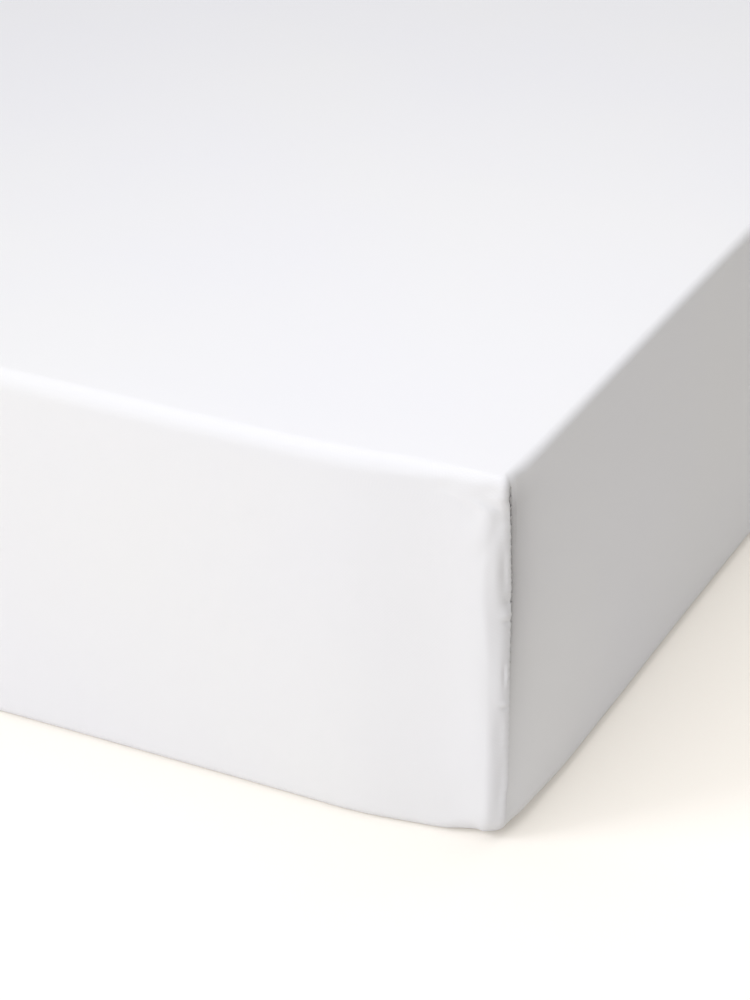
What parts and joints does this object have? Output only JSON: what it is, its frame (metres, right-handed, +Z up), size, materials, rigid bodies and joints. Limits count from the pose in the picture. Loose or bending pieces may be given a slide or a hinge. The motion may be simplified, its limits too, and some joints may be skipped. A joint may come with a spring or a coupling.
{
  "type": "fitted sheet on a mattress",
  "caption": "White cotton fitted sheet pulled smooth over a single mattress, with an upright seam at each corner and a hem turned under.",
  "frame": {"origin": "on the floor under the middle of the bed", "axes": "+Z up, +Y along the bed's length, +X across its width; the corner seen in the picture is at +X, -Y"},
  "size_m": [0.9016, 2.0016, 0.2522],
  "materials": {
    "white_cotton": "smooth closely woven cotton with a soft sheen",
    "plain_ticking": "plain matt woven ticking"
  },
  "bodies": {
    "root": {"fitted_sheet": "white_cotton", "mattress": "plain_ticking"}
  },
  "joints": []
}
